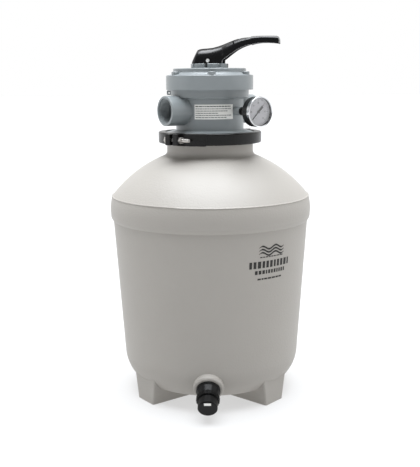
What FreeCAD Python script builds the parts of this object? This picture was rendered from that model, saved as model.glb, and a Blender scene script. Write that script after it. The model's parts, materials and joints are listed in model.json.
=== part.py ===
import FreeCAD, Part
import math
import os

os.makedirs("parts", exist_ok=True)

# A top-mount sand filter tank, in millimetres. The floor is Z = 0 and the tank's axis is the Z axis.
# A bearing is an angle from the front (-Y, the drain side) towards +X.

FIT = 0.05          # running fit, on the radius
GAP = 0.3           # air between pieces that move past each other
SEAT = 0.2          # slack on the radius where a piece drops into a fixed seat

# Tank shell
WALL = 5.0
BOTTOM_Z = 27.0
CORNER_R = 76.0
CORNER_Z = 88.0
TUCK_R = 25.0
SIDE_SLOPE = 0.0655
SIDE_R_AT_CREASE = 194.5
CREASE_LOW_Z = 352.0
CREASE_TOP_Z = 400.0
CREASE_TOP_R = 196.3
BAND_R = 200.0
DOME_R = 248.0
DOME_CENTRE_Z = 248.5
NECK_R = 85.5
NECK_WALL = 6.0
NECK_FILLET = 11.0
BEAD_R = 1.6

# Feet
FOOT_BEARINGS = (51.0, 129.0, 231.0, 309.0)
FOOT_OUT_LOW = 164.0
FOOT_OUT_HIGH = 166.0
FOOT_HIGH_Z = 80.0
FOOT_IN = 64.0
FOOT_HALF_LOW = 27.0
FOOT_HALF_HIGH = 40.0
FOOT_POCKET_Z = 18.0
FOOT_WALL = 6.0
FOOT_ROUND = 4.0

# Neck joint, clamp and its bolts
PARTING_Z = 515.2
FLANGE_R = 96.0
FLANGE_TANK_LOW = 505.6
FLANGE_SLOPE = 5.5 / 10.5
FLANGE_TOP_Z = 524.6
SHOULDER_R = 88.0
CLAMP_R = 102.0
CLAMP_LOW = 504.4
CLAMP_TOP = 526.6
CLAMP_ROUND = 3.0
CLAMP_GAP = 6.0
CLAMP_BEARING = -37.0
LUG_LENGTH = 12.5
LUG_OUT = 117.0
PAD_OUT = 104.6
PAD_TURN = 35.0
PAD_TALL = 1.0
BOLT_R = 3.2
BOLT_LINE_R = 109.0
BOLT_Z = 514.5
NUT_R = 6.6
NUT_H = 5.8
HEAD_H = 4.4
BOLT_PAST_NUT = 16.5
NECK_ORING_R = 2.6

# Valve body
CHAMBER_R = 67.0
CHAMBER_WALL = 5.0
CHAMBER_LOW = 530.0
SPIGOT_LOW = 498.0
SPIGOT_WALL = 6.5
BAND_OUT_R = 77.0
BAND_LOW = 593.0
FLANGE_OUT_R = 82.1
FLANGE_LOW = 608.0
BODY_TOP = 622.0
DECK_TOP = 590.0
DECK_H = 5.0
WEB = 4.0
TUBE_IN = 26.2
TUBE_WALL = 4.5
TUBE_LOW = 500.0
PORT_Z = 568.0
PORT_OUT_R = 28.65
PORT_BORE_R = 24.0
PORT_THROAT_R = 16.5
PORT_MOUTH = 105.0
PORT_DEPTH = 30.0
PORT_BEARINGS = (-53.0, 127.0, -143.0)
EYE_BEARING = -98.0

# Lid
LID_SKIRT_R = 85.5
LID_SKIRT_LOW = 607.0
LID_SKIRT_TOP = 635.0
LID_DISC_R = 71.5
LID_DISC_TOP = 648.0
LID_CAVITY_TOP = 640.0
LID_CAVITY_R = 64.0
COLLAR_R = 36.7
COLLAR_IN = 29.0
COLLAR_TOP = 657.0
COLLAR_FLOOR = 650.0
NOTCH_W = 7.0
NOTCHES = 8
NOTCH_START = 35.0
SCREWS = 6
SCREW_START = 5.0
SCREW_LINE_R = 77.5
SCREW_BOSS_R = 7.5
SCREW_BOSS_TOP = 641.7
SCREW_R = 3.0
SCREW_HEAD_R = 5.0
SCREW_SEAT = 636.0
SCREW_LOW = 609.5
LID_ORING_LINE = 70.5
LID_ORING_R = 1.7

# Diverter
ROTOR_LOW = 593.1
ROTOR_R = 60.0
ROTOR_RIM = 5.0
ROTOR_PLATE_LOW = 600.0
ROTOR_PLATE_TOP = 606.0
ROTOR_HUB_TOP = 612.0
ROTOR_HUB_R = 18.0
STEM_R = 9.0
STEM_TOP = 673.0
WASHER_H = 1.5
SPRING_R = 14.0
SPRING_WIRE = 1.6
SPRING_TURNS = 4

# Handle
HANDLE_BEARING = 80.0
PIN_Z = 662.7
PIN_R = 3.5
HUB_LOW = 657.5
HUB_HALF = 17.0
HANDLE_WALL = 3.4

# Gauge
GAUGE_BEARING = 37.5
GAUGE_OFFSET = 15.0
GAUGE_Z = 567.0
GAUGE_BACK = 119.0
GAUGE_BOSS_R = 8.2
GAUGE_BOSS_END = 84.0
GAUGE_CASE_R = 27.8
GAUGE_CASE_H = 20.0
GAUGE_CASE_WALL = 0.8
BEZEL_R = 28.6
BEZEL_IN = 26.2
BEZEL_TOP = 22.3
DIAL_R = 26.8
DIAL_Z = 14.0
LENS_Z = 19.4
LENS_H = 1.6
SPINDLE_R = 1.2
GAUGE_PIPE_R = 5.0

# Drain
DRAIN_R = 176.5
DRAIN_Z = 52.0
DRAIN_TILT = 24.0
DRAIN_BOSS_R = 29.5
DRAIN_TUBE_R = 15.0
DRAIN_BORE_R = 11.0
DRAIN_SEAT = -13.0
GASKET_H = 2.0
DRAIN_FLANGE_R = 22.0
DRAIN_FLANGE_H = 5.0
NUT_LIP_R = 22.9
NUT_BARREL_R = 21.2
NUT_END_R = 18.9
NUT_LENGTH = 18.5
NOZZLE_COLLAR_R = 17.5
NOZZLE_START = 20.1
NOZZLE_END = 33.0
NOZZLE_R = 13.3
NOZZLE_IN = 9.5
CAP_SKIRT_R = 21.2
CAP_SKIRT_END = 29.5
CAP_END_R = 18.6
CAP_END = 48.3
CAP_WALL = 3.0

# Pipework in the tank
PIPE_R = 25.0
PIPE_WALL = 2.5
PIPE_LOW = 70.5
PIPE_TOP = 545.0
HUB_R = 42.0
HUB_Z = 58.0
HUB_FLOOR = 42.0
HUB_SOCKET_TOP = 92.0
LATERALS = 8
LATERAL_R = 10.0
LATERAL_WALL = 2.0
LATERAL_START = 25.0
LATERAL_END = 145.0
LATERAL_SLOTS = 9
DIFFUSER_R = 62.0
DIFFUSER_LOW = 455.0
DIFFUSER_SLOTS = 24


def vec(x, y, z):
    return FreeCAD.Vector(x, y, z)


def aim(bearing):
    turn = math.radians(bearing)
    return vec(math.sin(turn), -math.cos(turn), 0)


def outline(points):
    """A closed wire in the XZ plane. A point with a third entry lies half way along an arc."""
    spots = [vec(p[0], 0, p[1]) for p in points]
    spots.append(spots[0])
    bent = [len(p) == 3 for p in points] + [False]
    edges = []
    i = 0
    while i < len(points):
        if bent[i + 1]:
            edges.append(Part.Arc(spots[i], spots[i + 1], spots[i + 2]).toShape())
            i += 2
        else:
            edges.append(Part.makeLine(spots[i], spots[i + 1]))
            i += 1
    return Part.Wire(edges)


def turned(points, sweep=360):
    """A piece turned about Z from its section, points being (radius, height)."""
    return Part.Face(outline(points)).revolve(vec(0, 0, 0), vec(0, 0, 1), sweep)


def ring(r_in, r_out, low, high):
    return turned([(r_in, low), (r_out, low), (r_out, high), (r_in, high)])


def rod(radius, low, high):
    return Part.makeCylinder(radius, high - low, vec(0, 0, low))


def sector(r_in, r_out, low, high, start, end):
    """A block of a ring between two bearings."""
    block = turned([(r_in, low), (r_out, low), (r_out, high), (r_in, high)], end - start)
    return block.rotate(vec(0, 0, 0), vec(0, 0, 1), start - 90)


def block(x0, x1, half_y, low, high):
    return Part.makeBox(x1 - x0, 2 * half_y, high - low, vec(x0, -half_y, low))


def round_off(shape, radius, chosen):
    edges = [e for e in shape.Edges if chosen(e.BoundBox)]
    return shape.makeFillet(radius, edges)


def at_bearing(shape, bearing):
    """Turns a shape drawn along +X so that it points to a bearing."""
    return shape.copy().rotate(vec(0, 0, 0), vec(0, 0, 1), bearing - 90)


def along(shape, start, direction):
    """Moves a shape drawn up the Z axis so that it starts at a point and runs along a direction."""
    moved = shape.copy()
    moved.Placement = FreeCAD.Placement(start, FreeCAD.Rotation(vec(0, 0, 1), direction)).multiply(moved.Placement)
    return moved


def spread(shape, count, start):
    """Copies of a shape drawn along +X at even bearings."""
    return [at_bearing(shape, start + 360.0 * i / count) for i in range(count)]


def torus(line_r, r, z):
    return Part.makeTorus(line_r, r, vec(0, 0, z), vec(0, 0, 1))


def hexagon(radius, low, high):
    corners = [vec(radius * math.cos(math.radians(60 * i)), radius * math.sin(math.radians(60 * i)), low)
               for i in range(7)]
    return Part.Face(Part.makePolygon(corners)).extrude(vec(0, 0, high - low))


def belly(inset):
    """The tank's outline from the middle of its floor up to the top of the neck, moved in by a wall."""
    lean = math.atan(SIDE_SLOPE)
    corner = CORNER_R - inset
    tuck = TUCK_R - inset
    side_r = SIDE_R_AT_CREASE - SIDE_SLOPE * (CREASE_LOW_Z - CORNER_Z)
    corner_x = side_r - CORNER_R / math.cos(lean)
    tuck_sin = (CORNER_Z - TUCK_R - BOTTOM_Z) / (CORNER_R - TUCK_R)
    tuck_turn = math.asin(tuck_sin)
    tuck_x = corner_x + (CORNER_R - TUCK_R) * math.cos(tuck_turn)
    tuck_z = BOTTOM_Z + TUCK_R
    middle = (lean + tuck_turn) / 2
    low_middle = (tuck_turn + math.pi / 2) / 2
    points = [(0, BOTTOM_Z + inset), (tuck_x, BOTTOM_Z + inset)]
    points.append((tuck_x + tuck * math.cos(low_middle), tuck_z - tuck * math.sin(low_middle), "arc"))
    points.append((corner_x + corner * math.cos(tuck_turn), CORNER_Z - corner * math.sin(tuck_turn)))
    points.append((corner_x + corner * math.cos(middle), CORNER_Z - corner * math.sin(middle), "arc"))
    points.append((corner_x + corner * math.cos(lean), CORNER_Z - corner * math.sin(lean)))
    points.append((SIDE_R_AT_CREASE - inset, CREASE_LOW_Z))
    points.append((SIDE_R_AT_CREASE + 4.0 - inset, CREASE_LOW_Z + 5.5, "arc"))
    points.append((BAND_R - 0.5 - inset, CREASE_LOW_Z + 13))
    points.append((BAND_R - inset, CREASE_LOW_Z + 26, "arc"))
    points.append((CREASE_TOP_R - inset, CREASE_TOP_Z))
    dome = DOME_R - inset
    neck = NECK_R - (NECK_WALL if inset else 0)
    fillet = NECK_FILLET + inset
    start_z = DOME_CENTRE_Z + math.sqrt(dome ** 2 - (CREASE_TOP_R - 0.3 - inset) ** 2)
    points.append((CREASE_TOP_R - 0.3 - inset, start_z))
    fillet_x = neck + fillet
    rise = math.sqrt((dome + fillet) ** 2 - fillet_x ** 2)
    fillet_z = DOME_CENTRE_Z + rise
    on_dome = dome / (dome + fillet)
    end = (fillet_x * on_dome, DOME_CENTRE_Z + rise * on_dome)
    half = (math.atan2(CREASE_TOP_R - inset, start_z - DOME_CENTRE_Z) + math.atan2(fillet_x, rise)) / 2
    points.append((dome * math.sin(half), DOME_CENTRE_Z + dome * math.cos(half), "arc"))
    points.append(end)
    hollow = (math.pi - math.atan2(rise, fillet_x)) / 2 + math.atan2(rise, fillet_x)
    points.append((fillet_x - fillet * math.sin(hollow), fillet_z - fillet * abs(math.cos(hollow)), "arc"))
    points.append((neck, fillet_z))
    return points


FLOOR = vec(0, 0, 0)
DRAIN_START = vec(0, -DRAIN_R, DRAIN_Z)
DRAIN_AXIS = vec(0, -math.cos(math.radians(DRAIN_TILT)), -math.sin(math.radians(DRAIN_TILT)))


def on_drain(shape):
    return along(shape, DRAIN_START, DRAIN_AXIS)


def tank_shell():
    seat_r = NECK_R - 0.3
    rim = [(NECK_R, FLANGE_TANK_LOW)]
    rim.append((FLANGE_R, FLANGE_TANK_LOW + (FLANGE_R - NECK_R) * FLANGE_SLOPE))
    rim.append((FLANGE_R, PARTING_Z))
    rim.append((seat_r, PARTING_Z))
    rim.append((seat_r, PARTING_Z - 2 * NECK_ORING_R))
    rim.append((NECK_R - NECK_WALL, PARTING_Z - 2 * NECK_ORING_R))
    shell = turned(belly(0) + rim + belly(WALL)[::-1])
    shell = shell.fuse(torus(CREASE_TOP_R - 0.6, BEAD_R, CREASE_TOP_Z + 0.2))
    mass = turned(belly(0) + [(0, PARTING_Z)])
    profile = outline([(FOOT_IN, 0), (FOOT_OUT_LOW, 0), (FOOT_OUT_HIGH, FOOT_HIGH_Z), (FOOT_IN, FOOT_HIGH_Z)])
    profile.translate(vec(0, -FOOT_HALF_HIGH, 0))
    foot = Part.Face(profile).extrude(vec(0, 2 * FOOT_HALF_HIGH, 0))
    side = Part.makePolygon([vec(0, -FOOT_HALF_LOW, 0), vec(0, FOOT_HALF_LOW, 0),
                             vec(0, FOOT_HALF_HIGH, FOOT_HIGH_Z), vec(0, -FOOT_HALF_HIGH, FOOT_HIGH_Z),
                             vec(0, -FOOT_HALF_LOW, 0)])
    foot = foot.common(Part.Face(side).extrude(vec(BAND_R, 0, 0)))
    foot = round_off(foot, FOOT_ROUND, lambda b: b.ZLength > FOOT_HIGH_Z / 2)
    foot = foot.cut(block(FOOT_IN + FOOT_WALL, FOOT_OUT_LOW - FOOT_WALL, FOOT_HALF_LOW - FOOT_WALL, 0, FOOT_POCKET_Z))
    boss = turned([(0, -60), (DRAIN_BOSS_R, -60), (DRAIN_BOSS_R, -5), (DRAIN_BOSS_R - 1.5, -1.5, "arc"),
                   (DRAIN_BOSS_R - 5, 0), (0, 0)])
    extras = [at_bearing(foot, bearing) for bearing in FOOT_BEARINGS] + [on_drain(boss)]
    shell = shell.fuse([extra.cut(mass) for extra in extras])
    shell = shell.cut(on_drain(rod(DRAIN_TUBE_R + 2 * GAP, -60, 1)))
    shell = shell.cut(on_drain(rod(DRAIN_FLANGE_R + 1, -60, DRAIN_SEAT)).common(turned(belly(0) + [(0, PARTING_Z)])))
    return shell.removeSplitter()


def flange_top(radius):
    return FLANGE_TOP_Z - (radius - SHOULDER_R) * FLANGE_SLOPE


def clamp_half(turn):
    lip = SHOULDER_R + 0.4
    reach = FLANGE_R + 0.6
    low_in = FLANGE_TANK_LOW + (lip - NECK_R) * FLANGE_SLOPE - GAP
    low_out = FLANGE_TANK_LOW + (reach - NECK_R) * FLANGE_SLOPE - GAP
    bend = CLAMP_ROUND * (1 - math.sqrt(0.5))
    section = [(lip, CLAMP_LOW), (CLAMP_R - CLAMP_ROUND, CLAMP_LOW)]
    section.append((CLAMP_R - bend, CLAMP_LOW + bend, "arc"))
    section.append((CLAMP_R, CLAMP_LOW + CLAMP_ROUND))
    section.append((CLAMP_R, CLAMP_TOP - CLAMP_ROUND))
    section.append((CLAMP_R - bend, CLAMP_TOP - bend, "arc"))
    section.append((CLAMP_R - CLAMP_ROUND, CLAMP_TOP))
    section.append((lip, CLAMP_TOP))
    section.append((lip, flange_top(lip) + GAP))
    section.append((reach, flange_top(reach) + GAP))
    section.append((reach, low_out))
    section.append((lip, low_in))
    band = turned(section, 180)
    near = CLAMP_GAP / 2
    inside = rod(reach, CLAMP_LOW, CLAMP_TOP)
    for side in (1, -1):
        lug = Part.makeBox(LUG_OUT - CLAMP_R + 6, LUG_LENGTH, CLAMP_TOP - CLAMP_LOW - 1,
                           vec(CLAMP_R - 6, near, CLAMP_LOW + 0.5))
        lug = round_off(lug, 2, lambda b: b.ZLength > 5 and b.XMin > CLAMP_R)
        if side < 0:
            lug = lug.mirror(FLOOR, vec(1, 0, 0))
        band = band.fuse(lug.cut(inside))
    pad_low = CLAMP_LOW - PAD_TALL
    pad_top = CLAMP_TOP + PAD_TALL
    pad = turned([(CLAMP_R - 2, pad_low), (PAD_OUT - 1, pad_low), (PAD_OUT, pad_low + 1), (PAD_OUT, pad_top - 1),
                  (PAD_OUT - 1, pad_top), (CLAMP_R - 2, pad_top)], PAD_TURN)
    band = band.fuse(pad)
    band = band.cut(Part.makeBox(4 * CLAMP_R, CLAMP_GAP, 100, vec(-2 * CLAMP_R, -near, CLAMP_LOW - 10)))
    for x in (BOLT_LINE_R, -BOLT_LINE_R):
        hole = Part.makeCylinder(BOLT_R + GAP, 60, vec(x, -30, BOLT_Z), vec(0, 1, 0))
        spot_face = Part.makeCylinder(NUT_R + GAP, NUT_H + 1, vec(x, near + LUG_LENGTH, BOLT_Z), vec(0, 1, 0))
        band = band.cut([hole, spot_face])
    return at_bearing(band, turn).removeSplitter()


def clamp_fasteners():
    start = CLAMP_GAP / 2 + LUG_LENGTH
    end = start + NUT_H + BOLT_PAST_NUT
    bolt = rod(BOLT_R, -start, end).fuse(hexagon(NUT_R, -start - HEAD_H, -start))
    nut = hexagon(NUT_R, start, start + NUT_H).cut(rod(BOLT_R, start, start + NUT_H))
    bolts = []
    nuts = []
    for half in (0, 180):
        bearing = CLAMP_BEARING + half
        spot = aim(bearing) * BOLT_LINE_R + vec(0, 0, BOLT_Z)
        bolts.append(along(bolt, spot, aim(bearing + 90)))
        nuts.append(along(nut, spot, aim(bearing + 90)))
    return Part.makeCompound(bolts), Part.makeCompound(nuts)


def valve_body():
    inner = CHAMBER_R - CHAMBER_WALL
    spigot = NECK_R - NECK_WALL - 2 * SEAT
    section = [(spigot - SPIGOT_WALL, SPIGOT_LOW), (spigot, SPIGOT_LOW), (spigot, PARTING_Z)]
    section += [(FLANGE_R, PARTING_Z + SEAT), (FLANGE_R, flange_top(FLANGE_R)), (SHOULDER_R, FLANGE_TOP_Z)]
    section += [(CHAMBER_R, CHAMBER_LOW), (CHAMBER_R, BAND_LOW - 4), (BAND_OUT_R, BAND_LOW)]
    section += [(BAND_OUT_R, FLANGE_LOW), (FLANGE_OUT_R, FLANGE_LOW), (FLANGE_OUT_R, BODY_TOP)]
    section += [(inner + 1, BODY_TOP), (inner + 1, DECK_TOP), (inner, DECK_TOP), (inner, CHAMBER_LOW - 2)]
    section += [(spigot - SPIGOT_WALL, PARTING_Z + 4)]
    body = turned(section)
    filled = rod(CHAMBER_R - 1, CHAMBER_LOW - 4, BODY_TOP)
    ports = []
    for bearing in PORT_BEARINGS:
        shell = round_off(rod(PORT_OUT_R, 0, PORT_MOUTH), 1.5, lambda b: b.ZMin > PORT_MOUTH - 1)
        ports.append(along(shell, vec(0, 0, PORT_Z), aim(bearing)).cut(filled))
    aside = aim(GAUGE_BEARING + 90) * GAUGE_OFFSET + vec(0, 0, GAUGE_Z)
    ports.append(along(rod(GAUGE_BOSS_R, 30, GAUGE_BOSS_END), aside, aim(GAUGE_BEARING)).cut(filled))
    eye = round_off(block(BAND_OUT_R - 2, BAND_OUT_R + 9, 2.5, 597, 606), 2,
                    lambda b: b.YLength > 2 and b.XMin > BAND_OUT_R + 8)
    eye = eye.cut(Part.makeCylinder(1.8, 10, vec(BAND_OUT_R + 5, -5, 601), vec(0, 1, 0)))
    ports.append(at_bearing(eye, EYE_BEARING))
    body = body.fuse(ports)
    tube_out = TUBE_IN + TUBE_WALL
    web = block(tube_out - 1, inner + 1, WEB / 2, CHAMBER_LOW - 4, DECK_TOP - DECK_H)
    deck = ring(8, inner + 0.5, DECK_TOP - DECK_H, DECK_TOP)
    window = sector(tube_out - 14, inner - 5, DECK_TOP - DECK_H, DECK_TOP, 5, 55)
    deck = deck.cut([window.copy().rotate(FLOOR, vec(0, 0, 1), 60 * i) for i in range(6)])
    floor = ring(tube_out - 1, inner + 1, CHAMBER_LOW - 4, CHAMBER_LOW)
    floor = floor.cut(sector(tube_out + 4, inner - 4, CHAMBER_LOW - 4, CHAMBER_LOW, 15, 110))
    tube = ring(TUBE_IN, tube_out, TUBE_LOW, DECK_TOP - DECK_H)
    tube = tube.cut(sector(TUBE_IN - 2, tube_out + 2, 553, DECK_TOP - DECK_H - 3, -20, 20))
    inside = [deck, floor, tube] + spread(web, 3, 0) + spread(web, 3, 180)
    body = body.fuse(inside)
    for bearing in PORT_BEARINGS:
        body = body.cut(along(rod(PORT_BORE_R, PORT_MOUTH - PORT_DEPTH, PORT_MOUTH), vec(0, 0, PORT_Z), aim(bearing)))
        body = body.cut(along(rod(PORT_THROAT_R, tube_out + 8, PORT_MOUTH - 1), vec(0, 0, PORT_Z), aim(bearing)))
    body = body.cut(along(rod(GAUGE_PIPE_R, GAUGE_BOSS_END - 14, GAUGE_BOSS_END), aside, aim(GAUGE_BEARING)))
    body = body.cut(along(rod(2, 40, GAUGE_BOSS_END), aside, aim(GAUGE_BEARING)))
    groove = ring(LID_ORING_LINE - LID_ORING_R - 0.1, LID_ORING_LINE + LID_ORING_R + 0.1,
                  BODY_TOP - 2 * LID_ORING_R, BODY_TOP)
    body = body.cut(groove)
    hole = Part.makeCylinder(SCREW_R, BODY_TOP, vec(SCREW_LINE_R, 0, SCREW_LOW))
    return body.cut(spread(hole, SCREWS, SCREW_START)).removeSplitter()


def valve_lid():
    section = [(LID_SKIRT_R - 3, LID_SKIRT_LOW), (LID_SKIRT_R, LID_SKIRT_LOW), (LID_SKIRT_R, LID_SKIRT_TOP - 1)]
    section += [(LID_SKIRT_R - 1, LID_SKIRT_TOP), (77, 637), (72.6, 640), (LID_DISC_R, 641)]
    section += [(LID_DISC_R, LID_DISC_TOP - 1), (LID_DISC_R - 1, LID_DISC_TOP), (COLLAR_R, LID_DISC_TOP)]
    section += [(COLLAR_R, COLLAR_TOP - 0.8), (COLLAR_R - 0.8, COLLAR_TOP), (COLLAR_IN, COLLAR_TOP)]
    section += [(COLLAR_IN, COLLAR_FLOOR), (STEM_R + FIT, COLLAR_FLOOR), (STEM_R + FIT, LID_CAVITY_TOP)]
    section += [(LID_CAVITY_R - 6, LID_CAVITY_TOP), (LID_CAVITY_R, LID_CAVITY_TOP - 6), (LID_CAVITY_R, BODY_TOP)]
    section += [(LID_SKIRT_R - 3, BODY_TOP)]
    well = turned([(0, BODY_TOP - 5), (SCREW_R + SEAT, BODY_TOP - 5), (SCREW_R + SEAT, SCREW_SEAT),
                   (SCREW_HEAD_R + 0.7, SCREW_SEAT), (SCREW_HEAD_R + 0.7, COLLAR_TOP), (0, COLLAR_TOP)])
    well.translate(vec(SCREW_LINE_R, 0, 0))
    boss = turned([(0, 630), (SCREW_BOSS_R, 630), (SCREW_BOSS_R, SCREW_BOSS_TOP - 0.8),
                   (SCREW_BOSS_R - 0.8, SCREW_BOSS_TOP), (0, SCREW_BOSS_TOP)])
    boss.translate(vec(SCREW_LINE_R, 0, 0))
    boss = boss.cut(well)
    notch = block(COLLAR_IN - 1, COLLAR_R + 1, NOTCH_W / 2, COLLAR_FLOOR, COLLAR_TOP + 1)
    lid = turned(section)
    for tool in spread(well, SCREWS, SCREW_START) + spread(notch, NOTCHES, NOTCH_START):
        lid = lid.cut(tool)
    return lid.fuse(spread(boss, SCREWS, SCREW_START)).removeSplitter()


def lid_screws():
    screw = rod(SCREW_R, SCREW_LOW, SCREW_SEAT)
    head = turned([(0, SCREW_SEAT), (SCREW_HEAD_R, SCREW_SEAT), (SCREW_HEAD_R, SCREW_SEAT + 2),
                   (SCREW_HEAD_R - 1.6, SCREW_SEAT + 3.4), (0, SCREW_SEAT + 3.4)])
    screw = screw.fuse(head)
    for turn in (0, 90):
        slot = block(-SCREW_HEAD_R * 0.6, SCREW_HEAD_R * 0.6, 0.6, SCREW_SEAT + 1.6, SCREW_SEAT + 4)
        screw = screw.cut(slot.rotate(FLOOR, vec(0, 0, 1), turn))
    screw.translate(vec(SCREW_LINE_R, 0, 0))
    return Part.makeCompound(spread(screw, SCREWS, SCREW_START))


def spider_gasket():
    inner = CHAMBER_R - CHAMBER_WALL
    low = DECK_TOP
    high = ROTOR_LOW - GAP
    flat = ring(inner - 5, inner - 0.5, low, high).fuse(ring(9, 15, low, high))
    return flat.fuse(spread(block(14, inner - 4, 2, low, high), SCREWS, 0)).removeSplitter()


def diverter_rotor():
    plate = rod(ROTOR_R, ROTOR_PLATE_LOW, ROTOR_PLATE_TOP)
    rim = ring(ROTOR_R - ROTOR_RIM, ROTOR_R, ROTOR_LOW, ROTOR_PLATE_LOW)
    web = block(10, ROTOR_R - 3, 2.5, ROTOR_LOW, ROTOR_PLATE_LOW)
    rib = block(10, ROTOR_R - 6, 1.5, ROTOR_PLATE_TOP, ROTOR_HUB_TOP - 2)
    parts = [rim, rod(ROTOR_HUB_R - 3, ROTOR_LOW, ROTOR_PLATE_LOW), rod(ROTOR_HUB_R, ROTOR_PLATE_TOP, ROTOR_HUB_TOP)]
    parts += [rod(STEM_R, ROTOR_HUB_TOP, STEM_TOP)] + spread(web, 6, 0) + spread(rib, 6, 0)
    rotor = plate.fuse(parts)
    rotor = rotor.cut(sector(ROTOR_HUB_R + 4, ROTOR_R - 6, ROTOR_PLATE_LOW - 1, ROTOR_PLATE_TOP + 1, 5, 55))
    for z in (643.0, 647.0):
        rotor = rotor.cut(ring(STEM_R - 2.2, STEM_R + 1, z - 1.1, z + 1.1))
    return rotor.cut(at_bearing(pin(PIN_R), HANDLE_BEARING)).removeSplitter()


def stem_orings():
    return Part.makeCompound([torus(STEM_R - 1.1, 1.05, z) for z in (643.0, 647.0)])


def pin(radius):
    half = HUB_HALF + 0.8
    return Part.makeCylinder(radius, 2 * half, vec(0, -half, PIN_Z), vec(0, 1, 0))


def spring():
    low = ROTOR_HUB_TOP + GAP + WASHER_H
    high = LID_CAVITY_TOP
    reach = high - low - 2 * SPRING_WIRE
    step = reach / SPRING_TURNS / 4
    path = []
    for i in range(4 * SPRING_TURNS):
        piece = Part.makeHelix(4 * step, step, SPRING_R).rotate(FLOOR, vec(0, 0, 1), 90 * i)
        piece.translate(vec(0, 0, step * i))
        path += piece.Edges
    wire = Part.Wire(Part.makeCircle(SPRING_WIRE, vec(SPRING_R, 0, 0), vec(0, 1, 0)))
    coil = Part.Wire(path).makePipeShell([wire], True, True)
    coil.translate(vec(0, 0, low + SPRING_WIRE))
    return coil


def curve(points):
    bow = Part.BSplineCurve()
    bow.interpolate([vec(p[0], 0, p[1]) for p in points])
    return bow.toShape()


def handle():
    top_hub = [(-33, HUB_LOW), (-24, 683)]
    top_arm = [(-24, 683), (-13, 685.4), (7, 687), (30, 694), (49.5, 702), (60, 705.2), (83, 707.6)]
    top_grip = [(83, 708.2), (92, 709.7), (112.5, 710.2), (134.5, 709)]
    under = [(137.5, 697), (119, 699), (105.5, 699.4), (86, 696.7), (71.5, 693), (58, 687), (44.5, 678), (36, 671), (28, 665)]
    spots = [vec(p[0], 0, p[1]) for p in (top_hub[0], top_hub[1], top_arm[-1], top_grip[0], top_grip[-1],
                                          under[0], under[-1], (28, HUB_LOW), top_hub[0])]
    edges = [Part.makeLine(spots[0], spots[1]), curve(top_arm), Part.makeLine(spots[2], spots[3]), curve(top_grip)]
    edges += [Part.makeLine(spots[4], spots[5]), curve(under), Part.makeLine(spots[6], spots[7])]
    edges.append(Part.makeLine(spots[7], spots[8]))
    side = Part.Face(Part.Wire(edges))
    side.translate(vec(0, -HUB_HALF, 0))
    bar = side.extrude(vec(0, 2 * HUB_HALF, 0))
    plan = [(-34, 11), (-28, HUB_HALF), (28, HUB_HALF), (54, 12), (88, 11.5), (125, 14), (138, 12)]
    corners = [vec(x, y, HUB_LOW - 20) for x, y in plan] + [vec(x, -y, HUB_LOW - 20) for x, y in plan[::-1]]
    seen = Part.Face(Part.makePolygon(corners + corners[:1])).extrude(vec(0, 0, 100))
    bar = bar.common(seen)
    inner = [(-29, 8), (-26, HUB_HALF - HANDLE_WALL), (26, HUB_HALF - HANDLE_WALL), (54, 12 - HANDLE_WALL),
             (88, 11.5 - HANDLE_WALL), (125, 14 - HANDLE_WALL), (134, 12 - HANDLE_WALL)]
    corners = [vec(x, y, HUB_LOW - 20) for x, y in inner] + [vec(x, -y, HUB_LOW - 20) for x, y in inner[::-1]]
    hollow = Part.Face(Part.makePolygon(corners + corners[:1])).extrude(vec(0, 0, 100))
    lower = side.copy()
    lower.translate(vec(0, 0, -HANDLE_WALL))
    trough = lower.extrude(vec(0, 2 * HUB_HALF, 0)).common(hollow)
    raised = side.copy()
    raised.translate(vec(0, 0, 3))
    ribs = [raised.extrude(vec(0, 2 * HUB_HALF, 0)).common(block(x, x + 2, 10, 600, 800)) for x in (48, 71, 94, 115)]
    bar = bar.cut(trough).fuse([rib.common(bar.fuse(trough)) for rib in ribs])
    bar = bar.cut(pin(PIN_R + FIT))
    return at_bearing(bar, HANDLE_BEARING).removeSplitter()


def gauge(shape):
    """Moves a piece of the gauge, drawn with the back of its case at Z = 0, to its place."""
    start = aim(GAUGE_BEARING) * GAUGE_BACK + aim(GAUGE_BEARING + 90) * GAUGE_OFFSET + vec(0, 0, GAUGE_Z)
    upright = FreeCAD.Matrix(aim(GAUGE_BEARING + 90), vec(0, 0, 1), aim(GAUGE_BEARING), start)
    moved = shape.copy()
    moved.transformShape(upright)
    return moved


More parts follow.
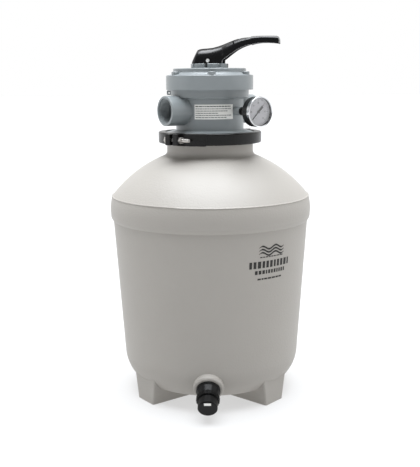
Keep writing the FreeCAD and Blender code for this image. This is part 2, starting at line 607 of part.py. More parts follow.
def gauge_pieces():
    stem_end = GAUGE_BACK - GAUGE_BOSS_END
    case = turned([(2.1, 0), (GAUGE_CASE_R - 2, 0), (GAUGE_CASE_R - 0.6, 0.6, "arc"), (GAUGE_CASE_R, 2),
                   (GAUGE_CASE_R, GAUGE_CASE_H), (GAUGE_CASE_R - GAUGE_CASE_WALL, GAUGE_CASE_H),
                   (GAUGE_CASE_R - GAUGE_CASE_WALL, 2), (2.1, 2)])
    bezel = turned([(GAUGE_CASE_R, 16), (BEZEL_R, 16), (BEZEL_R, BEZEL_TOP - 0.8),
                    (BEZEL_R - 0.25, BEZEL_TOP - 0.2, "arc"), (BEZEL_R - 0.9, BEZEL_TOP),
                    (BEZEL_IN, BEZEL_TOP - 0.6), (BEZEL_IN, LENS_Z + LENS_H), (GAUGE_CASE_R, LENS_Z + LENS_H)])
    dial = ring(SPINDLE_R + GAP, DIAL_R, DIAL_Z, DIAL_Z + 0.8)
    rest = ring(DIAL_R - 1.5, DIAL_R, DIAL_Z - 2.5, DIAL_Z)
    lens = rod(DIAL_R, LENS_Z, LENS_Z + LENS_H)
    spindle = rod(SPINDLE_R, 9, DIAL_Z + 3.2)
    needle = [vec(-0.6, -20, 0), vec(0.6, -20, 0), vec(1.2, 2, 0), vec(1.9, 6, 0), vec(2.1, 14, 0),
              vec(-2.1, 14, 0), vec(-1.9, 6, 0), vec(-1.2, 2, 0), vec(-0.6, -20, 0)]
    pointer = Part.Face(Part.makePolygon(needle)).extrude(vec(0, 0, 0.6))
    pointer = pointer.fuse(rod(2.6, 0, 1.2))
    pointer.rotate(FLOOR, vec(0, 0, 1), -45)
    pointer.translate(vec(0, 0, DIAL_Z + 1.6))
    pointer = pointer.cut(rod(SPINDLE_R, 0, 30))
    stem = rod(GAUGE_PIPE_R, -stem_end - 12, -6).fuse([hexagon(8, -16, -6), rod(5, -6, 0), rod(2, 0, 3)])
    stem = stem.fuse(block(-6, 6, 4, 2, 5))
    stem = stem.cut(rod(1, -60, 3))
    tube = Part.makeTorus(17, 2, vec(0, 0, 7), vec(0, 0, 1), 0, 360, 250)
    movement = block(-9, 9, 6, 5, 6.5).fuse([block(-9, 9, 6, 11, 12.4), block(-9, -7, 6, 6, 11.5)])
    movement = movement.fuse(block(7, 9, 6, 6, 11.5)).cut(rod(SPINDLE_R + FIT, 8.5, 20))
    seal = ring(GAUGE_PIPE_R, 7.6, -stem_end, -stem_end + 1.6)
    return {
        "gauge_case": case, "gauge_bezel": bezel, "gauge_dial": dial, "gauge_dial_ring": rest, "gauge_lens": lens,
        "gauge_spindle": spindle, "gauge_pointer": pointer, "gauge_stem": stem, "gauge_bourdon_tube": tube,
        "gauge_movement_frame": movement, "gauge_stem_seal": seal,
    }


def drain_pieces():
    flange_top_t = DRAIN_SEAT - GASKET_H
    tube = ring(DRAIN_BORE_R, DRAIN_TUBE_R, flange_top_t - DRAIN_FLANGE_H, NUT_LENGTH - 4)
    tube = tube.fuse(ring(DRAIN_BORE_R, DRAIN_FLANGE_R, flange_top_t - DRAIN_FLANGE_H, flange_top_t))
    gasket = ring(DRAIN_TUBE_R + SEAT, DRAIN_FLANGE_R - 0.5, flange_top_t, DRAIN_SEAT)
    nut = turned([(DRAIN_TUBE_R + SEAT, 0), (NUT_LIP_R, 0), (NUT_LIP_R, 4.5), (NUT_BARREL_R, 5.5),
                  (NUT_END_R, NUT_LENGTH - 1), (NUT_END_R - 1, NUT_LENGTH), (NOZZLE_COLLAR_R, NUT_LENGTH),
                  (NOZZLE_COLLAR_R, NOZZLE_START), (NOZZLE_R, NOZZLE_START), (NOZZLE_R, NOZZLE_END),
                  (NOZZLE_IN, NOZZLE_END), (NOZZLE_IN, NUT_LENGTH - 3), (DRAIN_TUBE_R + SEAT, NUT_LENGTH - 3)])
    rib_side = outline([(NUT_END_R - 1.5, 5), (NUT_BARREL_R + 0.9, 5), (NUT_BARREL_R + 0.9, 7),
                        (NUT_END_R + 0.9, NUT_LENGTH - 1.5), (NUT_END_R - 1.5, NUT_LENGTH - 1.5)])
    rib_side.translate(vec(0, -1, 0))
    rib = Part.Face(rib_side).extrude(vec(0, 2, 0))
    nut = nut.fuse([rib.copy().rotate(FLOOR, vec(0, 0, 1), 60 * i + 30) for i in range(6)])
    screen = ring(DRAIN_BORE_R - 2.5, DRAIN_BORE_R - SEAT, -46, -6)
    screen = screen.fuse([rod(DRAIN_BORE_R - SEAT, -48, -46),
                          ring(DRAIN_BORE_R - 2.5, DRAIN_BORE_R + 3, -22.5, flange_top_t - DRAIN_FLANGE_H)])
    slits = [ring(DRAIN_BORE_R - 4, DRAIN_BORE_R + 2, z, z + 0.8).cut(block(-20, 20, 2, -50, 0))
             for z in (-43, -40, -37, -34, -31, -28, -25)]
    screen = screen.cut(slits)
    bore = NOZZLE_R + GAP
    start = NOZZLE_START + 0.4
    cap = turned([(bore, start), (CAP_SKIRT_R, start), (CAP_SKIRT_R, CAP_SKIRT_END - 1),
                  (CAP_SKIRT_R - 1, CAP_SKIRT_END), (CAP_END_R, CAP_SKIRT_END), (CAP_END_R, CAP_END - 1.5),
                  (CAP_END_R - 1.5, CAP_END), (0, CAP_END), (0, CAP_END - CAP_WALL), (NOZZLE_IN, CAP_END - CAP_WALL),
                  (NOZZLE_IN, NOZZLE_END + GAP + GASKET_H), (bore, NOZZLE_END + GAP + GASKET_H)])
    grip = block(CAP_SKIRT_R - 1, CAP_SKIRT_R + 0.9, 1.1, start, CAP_SKIRT_END - 1)
    cap = cap.fuse([grip.copy().rotate(FLOOR, vec(0, 0, 1), 15 * i) for i in range(24)])
    cap_gasket = ring(NOZZLE_IN, bore - SEAT, NOZZLE_END + GAP, NOZZLE_END + GAP + GASKET_H)
    label = Part.makeBox(13, 6, 0.3, vec(-6.5, 9, CAP_END))
    return {
        "drain_tube": tube, "drain_gasket": gasket, "drain_nut": nut, "drain_screen": screen,
        "drain_cap": cap, "drain_cap_gasket": cap_gasket, "drain_cap_label": label,
    }


def lateral_hub():
    body = turned([(0, HUB_FLOOR), (HUB_R, HUB_FLOOR), (HUB_R, 72), (PIPE_R + 5, 76), (PIPE_R + 5, HUB_SOCKET_TOP),
                   (PIPE_R + SEAT, HUB_SOCKET_TOP), (PIPE_R + SEAT, PIPE_LOW), (PIPE_R - 3, PIPE_LOW),
                   (PIPE_R - 3, HUB_FLOOR + 4), (0, HUB_FLOOR + 4)])
    foot = ring(18, 24, BOTTOM_Z + WALL, HUB_FLOOR)
    hole = Part.makeCylinder(LATERAL_R + SEAT, 60, vec(PIPE_R - 5, 0, HUB_Z), vec(1, 0, 0))
    return body.fuse(foot).cut(spread(hole, LATERALS, 22.5)).removeSplitter()


def lateral():
    run = LATERAL_END - LATERAL_START
    tube = Part.makeCylinder(LATERAL_R, run, vec(LATERAL_START, 0, HUB_Z), vec(1, 0, 0))
    tube = tube.cut(Part.makeCylinder(LATERAL_R - LATERAL_WALL, run - 3, vec(LATERAL_START, 0, HUB_Z), vec(1, 0, 0)))
    for i in range(LATERAL_SLOTS):
        x = HUB_R + 10 + i * (run - HUB_R) / LATERAL_SLOTS
        for low in (HUB_Z + 3, HUB_Z - 23):
            tube = tube.cut(block(x, x + 1, 20, low, low + 20))
    return tube


def upper_diffuser():
    fit_r = NECK_R - NECK_WALL - 2 * SEAT - SPIGOT_WALL - SEAT
    basket = turned([(PIPE_R + SEAT, DIFFUSER_LOW), (DIFFUSER_R, DIFFUSER_LOW), (DIFFUSER_R, SPIGOT_LOW),
                     (fit_r, SPIGOT_LOW), (fit_r, SPIGOT_LOW + 4), (DIFFUSER_R - 3, SPIGOT_LOW + 4),
                     (DIFFUSER_R - 3, DIFFUSER_LOW + 3), (PIPE_R + SEAT, DIFFUSER_LOW + 3)])
    slot = block(DIFFUSER_R - 6, DIFFUSER_R + 3, 2, DIFFUSER_LOW + 6, SPIGOT_LOW - 6)
    return basket.cut(spread(slot, DIFFUSER_SLOTS, 0))


nodes = {
    "tank_shell": tank_shell(),
    "clamp_half_front": clamp_half(CLAMP_BEARING),
    "clamp_half_rear": clamp_half(CLAMP_BEARING + 180),
    "neck_oring": torus(NECK_R - NECK_WALL + NECK_ORING_R + 0.1, NECK_ORING_R, PARTING_Z - NECK_ORING_R),
    "standpipe": ring(PIPE_R - PIPE_WALL, PIPE_R, PIPE_LOW, PIPE_TOP),
    "standpipe_seal": torus(PIPE_R + 0.6, 0.5, TUBE_LOW + 12),
    "lateral_hub": lateral_hub(),
    "upper_diffuser": upper_diffuser(),
    "valve_body": valve_body(),
    "valve_lid": valve_lid(),
    "lid_screws": lid_screws(),
    "lid_oring": torus(LID_ORING_LINE, LID_ORING_R, BODY_TOP - LID_ORING_R),
    "spider_gasket": spider_gasket(),
    "diverter_rotor": diverter_rotor(),
    "rotor_stem_orings": stem_orings(),
    "thrust_washer": ring(STEM_R + GAP, ROTOR_HUB_R - 1, ROTOR_HUB_TOP + GAP, ROTOR_HUB_TOP + GAP + WASHER_H),
    "rotor_spring": spring(),
    "handle": handle(),
    "handle_pin": at_bearing(pin(PIN_R), HANDLE_BEARING),
    "valve_label": sector(CHAMBER_R, CHAMBER_R + 0.3, 552, 580, -23.7, 43),
}
nodes["clamp_bolts"], nodes["clamp_nuts"] = clamp_fasteners()
for i, shape in enumerate(spread(lateral(), LATERALS, 22.5)):
    nodes["lateral_%d" % (i + 1)] = shape
for name, shape in gauge_pieces().items():
    nodes[name] = gauge(shape)
for name, shape in drain_pieces().items():
    nodes[name] = on_drain(shape)

for name, shape in nodes.items():
    shape.exportStep("parts/" + name + ".step")
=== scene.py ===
import json
import math
import random

import bmesh
import bpy
from mathutils import Matrix, Vector


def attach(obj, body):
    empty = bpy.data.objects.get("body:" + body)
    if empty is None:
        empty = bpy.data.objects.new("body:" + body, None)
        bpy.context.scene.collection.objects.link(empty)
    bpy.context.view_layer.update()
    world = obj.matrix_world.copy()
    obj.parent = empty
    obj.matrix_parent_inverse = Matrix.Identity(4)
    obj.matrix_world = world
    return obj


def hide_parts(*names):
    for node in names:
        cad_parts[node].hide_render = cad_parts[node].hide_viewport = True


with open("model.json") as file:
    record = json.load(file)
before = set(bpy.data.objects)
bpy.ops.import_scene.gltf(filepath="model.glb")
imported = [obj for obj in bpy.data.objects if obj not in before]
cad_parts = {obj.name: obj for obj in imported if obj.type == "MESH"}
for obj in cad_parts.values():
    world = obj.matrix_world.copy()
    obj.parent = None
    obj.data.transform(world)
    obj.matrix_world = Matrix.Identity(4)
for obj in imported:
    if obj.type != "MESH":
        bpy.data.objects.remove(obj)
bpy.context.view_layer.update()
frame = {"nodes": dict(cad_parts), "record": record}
MM = 0.001

# slow changes of tone over about 70 mm, in cycles per metre
TONE_SCALE = 14.0
# a grain's relief as a share of its width
GRAIN_DEPTH = 0.2
SMOOTHEST = 0.02

# ---------- materials ----------

def linear(code):
    """A screen colour such as C9C6C1 as the linear red, green and blue that the shader wants."""
    parts = [int(code[i:i + 2], 16) / 255 for i in (0, 2, 4)]
    return [c / 12.92 if c <= 0.04045 else ((c + 0.055) / 1.055) ** 2.4 for c in parts] + [1.0]


def add(tree, kind, links=(), **values):
    """Adds a node; values set its properties or, failing that, its inputs, and links feed its inputs."""
    made = tree.nodes.new(kind)
    for key, value in values.items():
        if hasattr(made, key):
            setattr(made, key, value)
        else:
            made.inputs[key.replace("_", " ")].default_value = value
    for name, source in dict(links).items():
        tree.links.new(source, made.inputs[name])
    return made


def finish(name, colour, rough, metal=0.0, grain=0.0, grain_mm=1.0, tint=0.03, spread=0.05, mirror=0.5):
    """A moulded or metal surface: slow changes of tone, uneven gloss and a fine grain in its relief."""
    mat = bpy.data.materials.new(name)
    mat.use_nodes = True
    tree = mat.node_tree
    tree.nodes.clear()
    place = add(tree, "ShaderNodeTexCoord").outputs["Object"]
    cloud = add(tree, "ShaderNodeTexNoise", {"Vector": place}, Scale=TONE_SCALE, Detail=3.0)
    fine = add(tree, "ShaderNodeTexNoise", {"Vector": place}, Scale=1 / (grain_mm * MM), Detail=2.0)
    base = linear(colour)
    dark = [c * (1 - tint * 2) for c in base[:3]] + [1]
    light = [min(1, c * (1 + tint)) for c in base[:3]] + [1]
    tone = add(tree, "ShaderNodeMix", {"Factor": cloud.outputs["Fac"]}, data_type="RGBA")
    tone.inputs[6].default_value = dark
    tone.inputs[7].default_value = light
    gloss = add(tree, "ShaderNodeMapRange", {"Value": fine.outputs["Fac"]})
    gloss.inputs["To Min"].default_value = max(SMOOTHEST, rough - spread)
    gloss.inputs["To Max"].default_value = min(1, rough + spread)
    skin = add(tree, "ShaderNodeBsdfPrincipled",
               {"Base Color": tone.outputs[2], "Roughness": gloss.outputs["Result"]}, Metallic=metal)
    skin.inputs["Specular IOR Level"].default_value = mirror
    if grain:
        relief = add(tree, "ShaderNodeBump", {"Height": fine.outputs["Fac"]}, Strength=grain,
                     Distance=grain_mm * MM * GRAIN_DEPTH)
        tree.links.new(relief.outputs["Normal"], skin.inputs["Normal"])
    add(tree, "ShaderNodeOutputMaterial", {"Surface": skin.outputs["BSDF"]})
    return mat


def glass(name):
    """Clear moulded polycarbonate."""
    mat = bpy.data.materials.new(name)
    mat.use_nodes = True
    tree = mat.node_tree
    tree.nodes.clear()
    clear = add(tree, "ShaderNodeBsdfTransparent")
    shine = add(tree, "ShaderNodeBsdfGlossy", Roughness=0.04)
    edge = add(tree, "ShaderNodeFresnel", IOR=1.45)
    both = add(tree, "ShaderNodeMixShader",
               {0: edge.outputs["Fac"], 1: clear.outputs["BSDF"], 2: shine.outputs["BSDF"]})
    add(tree, "ShaderNodeOutputMaterial", {"Surface": both.outputs["Shader"]})
    return mat


LOOK = {
    # rotomoulded polyethylene: a matte skin with a soft orange-peel relief,
    # drawn coarser than the real one so that it shows
    "tank_plastic": finish("tank_plastic", "A29E98", 0.46, grain=0.7, grain_mm=3.2, tint=0.015),
    # glass-filled nylon: near black, half gloss, with a slightly grainy skin
    "clamp_plastic": finish("clamp_plastic", "080707", 0.27, grain=0.2, grain_mm=0.8, tint=0.1,
                            mirror=0.3),
    # injection-moulded ABS: even grey with a satin sheen
    "valve_plastic": finish("valve_plastic", "888E90", 0.3, grain=0.1, grain_mm=0.7, tint=0.03),
    # moulded nylon: black and glossy, with long soft highlights
    "handle_plastic": finish("handle_plastic", "0A0B0D", 0.2, grain=0.05, grain_mm=0.9, tint=0.1,
                             spread=0.04),
    # moulded nylon: black and duller than the handle
    "drain_plastic": finish("drain_plastic", "040404", 0.33, grain=0.25, grain_mm=0.8, tint=0.12,
                            mirror=0.22),
    # ground end of the steel pin: pale steel lightened to near white and made mostly non-metal, a painted
    # highlight standing in for the bright reflection on its end
    "handle_pin": finish("pin_end_painted_highlight", "F1F1EF", 0.3, metal=0.25),
    # turned stainless steel: pale grey metal, softly blurred
    "stainless": finish("stainless", "C4C1BD", 0.38, metal=1.0, grain=0.1, grain_mm=0.6),
    # extruded PVC pipe: off-white, lightly glossy
    "pipe_plastic": finish("pipe_plastic", "E4E4E0", 0.35),
    # moulded natural polypropylene: milky and waxy
    "lateral_plastic": finish("lateral_plastic", "D8D8D2", 0.45),
    # moulded nitrile rubber: dull black
    "rubber": finish("rubber", "1B1B1B", 0.7, grain=0.2, grain_mm=0.8),
    # printed vinyl: flat white
    "label_paper": finish("label_paper", "F0F0EC", 0.45, tint=0.01),
    # enamelled pressed steel: smooth black
    "gauge_black": finish("gauge_black", "0B0C0D", 0.25, tint=0.08),
    # chromed steel: a bright mirror-like ring
    "gauge_bright": finish("gauge_bright", "D9DBDD", 0.16, metal=1.0),
    # enamelled aluminium: white and matte, so the printing reads
    "gauge_white": finish("gauge_white", "F2F1F6", 0.45, tint=0.01),
    "gauge_glass": glass("gauge_glass"),
    # painted aluminium: matte black
    "pointer_black": finish("pointer_black", "101010", 0.4),
    # turned brass: warm yellow metal
    "brass": finish("brass", "B08D4C", 0.28, metal=1.0, grain=0.1, grain_mm=0.5),
}

SLOT = {row["node"]: row["material_slot"] for row in frame["record"]["subparts"]}
for name, node in frame["nodes"].items():
    for i in range(len(node.material_slots)):
        node.material_slots[i].material = LOOK.get(name, LOOK[SLOT[name]])


# ---------- pieces ----------

def mesh_of(name, verts, faces, mat, smooth=30):
    """Makes a mesh object from millimetre points, doubles merged and faces outwards."""
    mesh = bpy.data.meshes.new(name)
    bm = bmesh.new()
    made = [bm.verts.new(Vector(v) * MM) for v in verts]
    for face in faces:
        if len(set(face)) == len(face):
            bm.faces.new([made[i] for i in face])
    bmesh.ops.remove_doubles(bm, verts=bm.verts, dist=1e-6)
    bmesh.ops.recalc_face_normals(bm, faces=bm.faces)
    bm.to_mesh(mesh)
    bm.free()
    mesh.materials.append(mat)
    if smooth:
        mesh.shade_smooth()
        mesh.set_sharp_from_angle(angle=math.radians(smooth))
    piece = bpy.data.objects.new(name, mesh)
    bpy.context.collection.objects.link(piece)
    return piece


def bearing(turn):
    turn = math.radians(turn)
    return Vector((math.sin(turn), -math.cos(turn), 0))


def fit(piece, body, slot, *stands_for):
    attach(piece, body)
    if stands_for:
        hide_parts(*stands_for)


def grid_faces(rows, cols, wrap_rows=False, wrap_cols=True, first=0):
    """Quads over a grid of points laid out row by row."""
    faces = []
    for i in range(rows if wrap_rows else rows - 1):
        for j in range(cols if wrap_cols else cols - 1):
            a = first + i * cols + j
            b = first + i * cols + (j + 1) % cols
            c = first + ((i + 1) % rows) * cols + (j + 1) % cols
            d = first + ((i + 1) % rows) * cols + j
            faces.append((a, b, c, d))
    return faces


def strokes(name, marks, place, mat, thick=0.12):
    """Flat printed marks laid on a curved surface. A mark is a row of (along, low, high) in millimetres."""
    verts, faces = [], []
    for mark in marks:
        first = len(verts)
        for along, low, high in mark:
            verts += [place(along, low, 0), place(along, high, 0)]
            verts += [place(along, high, thick), place(along, low, thick)]
        faces += grid_faces(len(mark), 4, first=first)
        last = len(verts) - 4
        faces += [(first, first + 1, first + 2, first + 3), (last + 3, last + 2, last + 1, last)]
    return mesh_of(name, verts, faces, mat, smooth=0)


def bar(start, end, low, high, step=4.0):
    """A straight printed bar, cut often enough to follow a curved surface."""
    count = max(2, int((end - start) / step) + 1)
    return [(start + (end - start) * i / (count - 1), low, high) for i in range(count)]


def words(start, end, low, high, seed, shortest=3.0, longest=9.0, space=1.4):
    """A line of blank bars the length of words."""
    pick = random.Random(seed)
    marks = []
    at = start
    while at < end - shortest:
        size = min(pick.uniform(shortest, longest), end - at)
        marks.append(bar(at, at + size, low, high))
        at += size + space
    return marks


def wave(start, end, level, height, thick, cycles, count=40):
    """A wavy printed line that thins to a point at both ends."""
    mark = []
    for i in range(count + 1):
        part = i / count
        rise = level + height * math.sin(part * cycles * 2 * math.pi)
        half = thick / 2 * min(1, 6 * min(part, 1 - part) + 0.15)
        mark.append((start + (end - start) * part, rise - half, rise + half))
    return mark


# ---------- lever handle ----------

LEVER_BEARING = 80.0
# along the lever, height of its top, height of its underside, half its width, all in millimetres
LEVER = [
    (-33.0, 659.0, 657.5, 12.0), (-32.0, 663.5, 657.5, 13.0), (-29.5, 671.0, 657.5, 15.5),
    (-26.5, 678.5, 657.5, 16.4), (-23.5, 683.0, 657.5, 16.9), (-19.0, 684.9, 657.5, 17.0),
    (-12.0, 685.8, 657.5, 17.0), (-3.0, 686.3, 657.5, 17.0), (7.0, 687.3, 657.5, 17.0),
    (17.0, 689.8, 657.5, 17.0), (26.0, 692.6, 657.5, 17.0), (28.0, 693.3, 657.7, 16.9),
    (28.6, 693.5, 663.6, 16.8), (35.8, 696.4, 668.6, 15.8), (42.5, 699.0, 673.8, 14.6),
    (49.3, 701.4, 678.4, 13.3), (56.1, 703.4, 682.8, 12.4), (63.9, 704.9, 686.6, 11.9),
    (72.6, 706.0, 690.0, 11.6), (82.4, 706.6, 692.8, 11.4), (82.8, 708.0, 691.8, 12.6),
    (92.9, 708.7, 694.2, 12.7), (103.5, 708.9, 695.4, 12.9), (114.1, 708.8, 695.5, 13.5),
    (124.8, 708.6, 694.9, 13.9), (132.5, 708.2, 694.0, 13.6), (136.0, 706.6, 693.3, 12.9),
    (137.4, 702.5, 693.0, 12.0),
]
LEVER_WALL = 3.2
WIDEST_BEND = 16.5
MOST_CROWN = 1.4
# share of the section's height that is rounded: at the hub, how much is lost towards the grip, and where
HUB_ROUND = 0.85
ROUND_LOST = 0.5
ROUND_FROM = 35.0
ROUND_OVER = 48.0
RIB_AT = (48, 71, 94, 115)
RIB_THICK = 2


def lever():
    """An upside-down trough with a rounded back, closed at both ends, with ribs across its underside."""
    ahead = bearing(LEVER_BEARING)
    side = bearing(LEVER_BEARING + 90)
    verts, faces = [], []

    def put(s, y, z):
        verts.append(ahead * s + side * y + Vector((0, 0, z)))

    round_steps = 6
    for s, top, low, half in LEVER:
        tall = top - low
        # the hub has a round back; towards the grip the section turns squarer
        bow = HUB_ROUND - ROUND_LOST * min(1.0, max(0.0, (s - ROUND_FROM) / ROUND_OVER))
        bend = min(WIDEST_BEND, half * 0.95, tall * bow)
        drop = tall * bow
        crown = min(MOST_CROWN, tall * 0.1)
        outer = [(-half - 0.5, low), (-half, low + min(1.2, tall * 0.1))]
        for i in range(round_steps + 1):
            turn = math.pi / 2 * i / round_steps
            outer.append((-half + bend * (1 - math.cos(turn)),
                          top - crown - drop * (1 - math.sin(turn))))
        outer.append((-half * 0.03, top))
        wall = min(LEVER_WALL, half * 0.4)
        roof = max(low + 0.4, top - crown - wall)
        inner = [(-half + wall, low), (-half + wall, max(low + 0.2, roof - drop * 0.8)),
                 (-half + wall + bend * 0.5, roof - drop * 0.15)]
        ring = outer + [(-y, z) for y, z in outer[::-1]] + [(-y, z) for y, z in inner] + inner[::-1]
        for y, z in ring:
            put(s, y, z)
    cols = len(verts) // len(LEVER)
    faces += grid_faces(len(LEVER), cols)
    last = len(verts) - cols
    faces += [tuple(range(cols)), tuple(range(last, last + cols))[::-1]]

    def plate(s0, s1, reach, low, top):
        first = len(verts)
        for s in (s0, s1):
            for y, z in ((-reach, low), (reach, low), (reach, top), (-reach, top)):
                put(s, y, z)
        faces.extend(grid_faces(2, 4, first=first))
        faces.extend([tuple(range(first, first + 4))[::-1], tuple(range(first + 4, first + 8))])

    for s0, s1 in ((0, 3), (-4, -1)):
        a, b = LEVER[s0], LEVER[s1]
        plate(min(a[0] + 0.3, b[0] - 0.3), max(a[0] + 0.3, b[0] - 0.3), min(a[3], b[3]) - 1.5,
              max(a[2], b[2]) + 0.2, min(a[1], b[1]) - 1.6)
    for s in RIB_AT:
        near = min(LEVER, key=lambda row: abs(row[0] - s))
        plate(s, s + RIB_THICK, near[3] - 2.0, near[2] + 3.0, near[1] - 2.5)
    return mesh_of("lever_moulding", verts, faces, LOOK["handle_plastic"], smooth=38)


fit(lever(), "lever", "handle_plastic", "handle")


# ---------- printing on the tank and the sticker on the valve ----------

# the tank's cone: its radius under the band, the height of that, its taper, and its radius at the print
CONE_R = 194.5
CONE_Z = 352
CONE_TAPER = 0.0655
PRINT_R = 190.5
PRINT_BEARING = 38.4
PRINT_Z = 291.0
INK_GAP = 0.06


def on_tank(along, up, lift):
    z = PRINT_Z + up
    r = CONE_R - CONE_TAPER * (CONE_Z - z) + INK_GAP + lift
    return bearing(PRINT_BEARING + math.degrees(along / PRINT_R)) * r + Vector((0, 0, z))


# screen-printed ink: warm black and matte
LOOK["ink"] = finish("ink", "191713", 0.5, tint=0.2, grain=0.1)
mark = [wave(-30, 30, level, 3.0, 3.4, 2) for level in (31.5, 25.5, 19.5)]
mark += words(-27, 27, 12.6, 14.6, seed=4, shortest=4, longest=8)
mark += words(-49, 49, -7.0, 6.0, seed=11, shortest=4, longest=7.5, space=3.0)
mark += words(-37, 37, -18.6, -11.4, seed=23, shortest=3, longest=6, space=2.2)
mark += words(-31, 31, -29.5, -26.5, seed=37, shortest=4, longest=9, space=1.4)
fit(strokes("tank_print", mark, on_tank, LOOK["ink"], thick=0.08), "filter", "pointer_black")

STICKER_BEARING = 9.65
STICKER_R = 67.3
STICKER_FACE = 67.34
STICKER_Z = 566
LINE_PITCH = 4.1


def on_valve(along, up, lift):
    ahead = bearing(STICKER_BEARING + math.degrees(along / STICKER_R))
    return ahead * (STICKER_FACE + lift) + Vector((0, 0, STICKER_Z + up))


lines = words(-37, 33, 9.4, 11.3, seed=2, shortest=2.5, longest=6, space=1.2)
for row, end in ((1, 35), (2, 26), (3, 8), (4, 36), (5, 24)):
    top = 10.6 - row * LINE_PITCH
    lines += words(-37, end, top - 1.3, top, seed=row * 7, shortest=2, longest=6.5, space=1.1)
# thin grey printing ink: matte
LOOK["print_grey"] = finish("print_grey", "3C3E40", 0.5, tint=0.1)
fit(strokes("sticker_print", lines, on_valve, LOOK["print_grey"], thick=0.05), "filter", "label_paper")


# ---------- gauge dial ----------

GAUGE_BEARING = 37.5
GAUGE_BACK = 119.0
GAUGE_OFFSET = 15.0
GAUGE_Z = 567.0
GAUGE_AHEAD = bearing(GAUGE_BEARING)
GAUGE_SIDE = bearing(GAUGE_BEARING + 90)
GAUGE_AT = GAUGE_AHEAD * GAUGE_BACK + GAUGE_SIDE * GAUGE_OFFSET + Vector((0, 0, GAUGE_Z))
DIAL_FACE = 14.8
# the scale runs over 270 degrees in 30 small steps and 6 large ones
DIAL_SWEEP = 270
SMALL_STEPS = 30
LARGE_STEPS = 6
TICK_OUT = 23.6
TICK_IN = 21.4
LONG_TICK_IN = 19.8
NUMBER_R = 16.6
NUMBER_SIZE = 4.2


def ring_of(name, seed_piece, count, start, step, mat):
    """Geometry Nodes: copies of a small piece turned about the Z axis, made into one mesh."""
    tree = bpy.data.node_groups.new(name + "_tree", "GeometryNodeTree")
    tree.interface.new_socket("Geometry", in_out="INPUT", socket_type="NodeSocketGeometry")
    count_in = tree.interface.new_socket("Count", in_out="INPUT", socket_type="NodeSocketInt")
    start_in = tree.interface.new_socket("Start", in_out="INPUT", socket_type="NodeSocketFloat")
    step_in = tree.interface.new_socket("Step", in_out="INPUT", socket_type="NodeSocketFloat")
    tree.interface.new_socket("Geometry", in_out="OUTPUT", socket_type="NodeSocketGeometry")
    enter = add(tree, "NodeGroupInput")
    points = add(tree, "GeometryNodeMeshLine", {"Count": enter.outputs["Count"]})
    points.inputs["Offset"].default_value = (0, 0, 0)
    index = add(tree, "GeometryNodeInputIndex")
    turn = add(tree, "ShaderNodeMath", {0: index.outputs[0], 1: enter.outputs["Step"],
                                        2: enter.outputs["Start"]}, operation="MULTIPLY_ADD")
    spin = add(tree, "ShaderNodeCombineXYZ", {"Z": turn.outputs[0]})
    copies = add(tree, "GeometryNodeInstanceOnPoints", {"Points": points.outputs["Mesh"],
                 "Instance": enter.outputs["Geometry"], "Rotation": spin.outputs[0]})
    real = add(tree, "GeometryNodeRealizeInstances", {"Geometry": copies.outputs[0]})
    paint = add(tree, "GeometryNodeSetMaterial", {"Geometry": real.outputs[0]})
    paint.inputs["Material"].default_value = mat
    add(tree, "NodeGroupOutput", {"Geometry": paint.outputs[0]})
    modifier = seed_piece.modifiers.new("ring", "NODES")
    modifier.node_group = tree
    modifier[count_in.identifier] = count
    modifier[start_in.identifier] = start
    modifier[step_in.identifier] = step
    bpy.context.view_layer.update()
    ready = seed_piece.evaluated_get(bpy.context.evaluated_depsgraph_get())
    mesh = bpy.data.meshes.new_from_object(ready)
    made = bpy.data.objects.new(name, mesh)
    bpy.context.collection.objects.link(made)
    bpy.data.objects.remove(seed_piece)
    return made


def box_seed(x0, x1, y0, y1, z0, z1, mat):
    verts = [(x, y, z) for x in (x0, x1) for y in (y0, y1) for z in (z0, z1)]
    faces = [(0, 1, 3, 2), (4, 6, 7, 5), (0, 4, 5, 1), (2, 3, 7, 6), (0, 2, 6, 4), (1, 5, 7, 3)]
    return mesh_of("seed", verts, faces, mat, smooth=0)


def to_gauge(piece, depth):
    """Moves a flat piece drawn about the origin onto the gauge's axis."""
    place = Matrix((GAUGE_SIDE, Vector((0, 0, 1)), GAUGE_AHEAD)).transposed().to_4x4()
    place.translation = (GAUGE_AT + GAUGE_AHEAD * depth) * MM
    piece.data.transform(place)
    return piece


STEP = math.radians(DIAL_SWEEP / SMALL_STEPS)
FIRST = math.radians(45)
ticks = ring_of("dial_ticks", box_seed(-TICK_OUT, -TICK_IN, -0.14, 0.14, 0, 0.06, LOOK["print_grey"]),
                SMALL_STEPS + 1, FIRST, -STEP, LOOK["print_grey"])
fit(to_gauge(ticks, DIAL_FACE + 0.02), "filter", "pointer_black")
long_ticks = ring_of("dial_long_ticks",
                     box_seed(-TICK_OUT, -LONG_TICK_IN, -0.22, 0.22, 0, 0.07, LOOK["pointer_black"]),
                     LARGE_STEPS + 1, FIRST, -STEP * 5, LOOK["pointer_black"])
fit(to_gauge(long_ticks, DIAL_FACE + 0.02), "filter", "pointer_black")
for i in range(LARGE_STEPS + 1):
    turn = math.radians(225 - DIAL_SWEEP / LARGE_STEPS * i)
    text = bpy.data.curves.new("dial_number_%d" % i, "FONT")
    text.body = str(i * 10)
    text.size = NUMBER_SIZE * MM
    text.align_x = "CENTER"
    text.align_y = "CENTER"
    text.extrude = 0.03 * MM
    drawn = bpy.data.objects.new("text", text)
    bpy.context.collection.objects.link(drawn)
    ready = drawn.evaluated_get(bpy.context.evaluated_depsgraph_get())
    mesh = bpy.data.meshes.new_from_object(ready)
    bpy.data.objects.remove(drawn)
    spot = Vector((NUMBER_R * math.cos(turn), NUMBER_R * math.sin(turn), 0))
    mesh.transform(Matrix.Translation(spot * MM))
    number = bpy.data.objects.new("dial_number_%d" % i, mesh)
    bpy.context.collection.objects.link(number)
    mesh.materials.clear()
    mesh.materials.append(LOOK["print_grey"])
    fit(to_gauge(number, DIAL_FACE + 0.05), "filter", "pointer_black")


# ---------- threads ----------

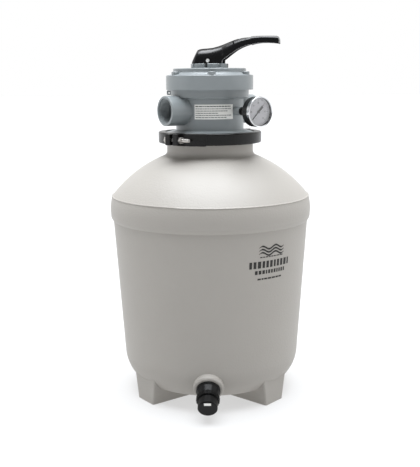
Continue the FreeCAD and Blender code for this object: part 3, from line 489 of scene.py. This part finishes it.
def thread(name, start, direction, radius, depth, pitch, turns, mat, steps=48):
    """A single-start thread: a three-sided ridge wound along an axis. A negative depth points inwards."""
    up = Vector((0, 0, 1)) if abs(direction.z) < 0.9 else Vector((1, 0, 0))
    across = direction.cross(up).normalized()
    other = direction.cross(across)
    root = -0.2 if depth > 0 else 0.2
    verts = []
    count = int(steps * turns)
    for i in range(count + 1):
        turn = 2 * math.pi * i / steps
        out = across * math.cos(turn) + other * math.sin(turn)
        level = pitch * i / steps
        fade = min(1, 6 * min(i, count - i) / count + 0.05)
        for rise, along in ((root, 0), (depth * fade, pitch * 0.42), (root, pitch * 0.84)):
            verts.append(Vector(start) + direction * (level + along) + out * (radius + rise))
    faces = grid_faces(count + 1, 3)
    faces += [(0, 1, 2), (len(verts) - 1, len(verts) - 2, len(verts) - 3)]
    return mesh_of(name, verts, faces, mat, smooth=25)


PORT_MOUTH = 105.0
PORT_DEEP = 27
PORT_Z = 568
PORT_BORE = 24.0
# 11.5 threads per inch
PORT_PITCH = 2.21
for name, turn in (("pump", -53.0), ("return", 127.0), ("waste", -143.0)):
    ahead = bearing(turn)
    spot = ahead * (PORT_MOUTH - PORT_DEEP) + Vector((0, 0, PORT_Z))
    fit(thread("port_thread_" + name, spot, ahead, PORT_BORE, -1.1, PORT_PITCH, 10.5,
               LOOK["valve_plastic"]), "filter", "valve_plastic")
BOLT_OUT = 109.0
BOLT_START = 21.7
BOLT_Z = 514.5
BOLT_R = 3.2
# 20 threads per inch
BOLT_PITCH = 1.27
for i, turn in enumerate((-37.0, 143.0)):
    ahead = bearing(turn + 90)
    spot = bearing(turn) * BOLT_OUT + ahead * BOLT_START + Vector((0, 0, BOLT_Z))
    fit(thread("bolt_thread_%d" % (i + 1), spot, ahead, BOLT_R, 0.4, BOLT_PITCH, 12,
               LOOK["stainless"], steps=24), "filter", "stainless")


# ---------- floor, light and camera ----------

def plane(name, size, z):
    mesh = bpy.data.meshes.new(name)
    h = size / 2
    mesh.from_pydata([(-h, -h, z), (h, -h, z), (h, h, z), (-h, h, z)], [], [(0, 1, 2, 3)])
    made = bpy.data.objects.new(name, mesh)
    bpy.context.collection.objects.link(made)
    return made


FLOOR_SIZE = 60
FLOOR_GLOW = 0.58
floor = plane("floor", FLOOR_SIZE, 0)
# white shooting table, partly lit from below, so shadows on it stay light
table = finish("floor", "868686", 0.9, tint=0.0)
glow = next(node for node in table.node_tree.nodes if node.type == "BSDF_PRINCIPLED")
glow.inputs["Emission Color"].default_value = (1, 1, 1, 1)
glow.inputs["Emission Strength"].default_value = FLOOR_GLOW
floor.data.materials.append(table)

bpy.context.scene.view_settings.view_transform = "Standard"
world = bpy.data.worlds.new("studio")
bpy.context.scene.world = world
world.use_nodes = True
# a bright backdrop behind the object that falls away towards the front; the camera sees plain white
room = world.node_tree
way = add(room, "ShaderNodeSeparateXYZ", {"Vector": add(room, "ShaderNodeTexCoord").outputs["Generated"]})
level = add(room, "ShaderNodeMapRange", {"Value": way.outputs["Y"]})
for key, value in (("From Min", -0.5), ("From Max", 0.4), ("To Min", 0.18), ("To Max", 1.0)):
    level.inputs[key].default_value = value
path = add(room, "ShaderNodeLightPath")
seen = add(room, "ShaderNodeMath", {0: level.outputs["Result"], 1: path.outputs["Is Camera Ray"]},
           operation="MAXIMUM")
room.nodes["Background"].inputs["Color"].default_value = (1, 1, 1, 1)
room.links.new(seen.outputs[0], room.nodes["Background"].inputs["Strength"])

overhead = bpy.data.lights.new("overhead", "SUN")
overhead.energy = 6.2
overhead.color = (0.93, 0.96, 1.0)
overhead.angle = math.radians(56)
overhead_at = bpy.data.objects.new("overhead", overhead)
overhead_at.location = (0, 0, 3)
bpy.context.collection.objects.link(overhead_at)


SOFTBOX_AIM = Vector((0, 0, 0.4))


def softbox(name, turn, height, distance, size, power):
    lamp = bpy.data.lights.new(name, "AREA")
    lamp.shape = "SQUARE"
    lamp.size = size
    lamp.energy = power
    made = bpy.data.objects.new(name, lamp)
    spot = bearing(turn) * distance + Vector((0, 0, height))
    made.location = spot
    made.rotation_euler = (SOFTBOX_AIM - spot).to_track_quat("-Z", "Y").to_euler()
    bpy.context.collection.objects.link(made)


softbox("right", 78, 1.2, 2.0, 1.2, 5)
softbox("left", -75, 1.1, 2.0, 1.2, 3)

CAM_BEARING = math.radians(2.0)
CAM_AWAY = 1.644
CAM_HIGH = 0.626
CAM_DOWN = math.radians(10.58)
CAM_ROLL = math.radians(-0.37)
CAM_ASIDE = -0.0012
CAM_SENSOR = 36
CAM_LENS = 63.4
lens = bpy.data.cameras.new("camera")
lens.sensor_width = CAM_SENSOR
lens.lens = CAM_LENS
camera = bpy.data.objects.new("camera", lens)
bpy.context.collection.objects.link(camera)
camera.location = Matrix.Rotation(CAM_BEARING, 3, "Z") @ Vector((CAM_ASIDE, -CAM_AWAY, CAM_HIGH))
turn = Matrix.Rotation(CAM_BEARING, 4, "Z") @ Matrix.Rotation(math.pi / 2 - CAM_DOWN, 4, "X")
camera.rotation_euler = (turn @ Matrix.Rotation(CAM_ROLL, 4, "Z")).to_euler()
bpy.context.scene.camera = camera
